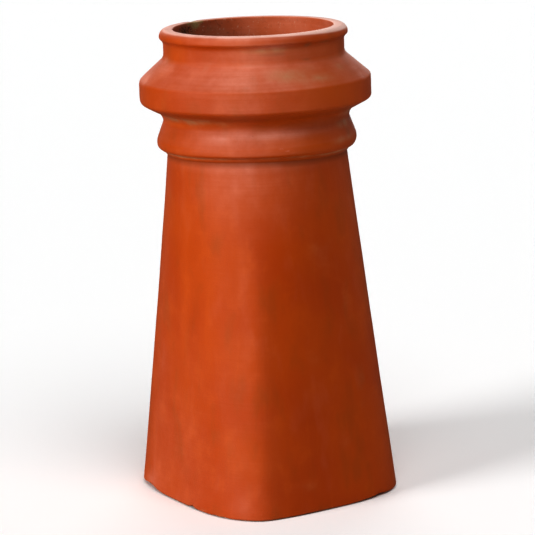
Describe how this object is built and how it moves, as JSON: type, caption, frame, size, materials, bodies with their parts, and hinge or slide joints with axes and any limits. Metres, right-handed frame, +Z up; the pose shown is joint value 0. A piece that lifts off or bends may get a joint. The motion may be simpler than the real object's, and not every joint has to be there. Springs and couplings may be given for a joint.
{
  "type": "chimney pot",
  "caption": "Terracotta chimney pot with a squared, tapering shaft, a round moulded head with a bead and a broad band, and an open flue right through.",
  "frame": {"origin": "middle of the foot, on the plane that the pot stands on", "axes": "+Z up along the flue; X across the narrower pair of faces and Y along the wider depth of the squared foot; the front face looks along -Y"},
  "size_m": [0.3, 0.3084, 0.61],
  "materials": {
    "terracotta": "unglazed fired clay, semi-matt, weathered"
  },
  "bodies": {
    "root": {"chimney_pot": "terracotta"}
  },
  "joints": []
}
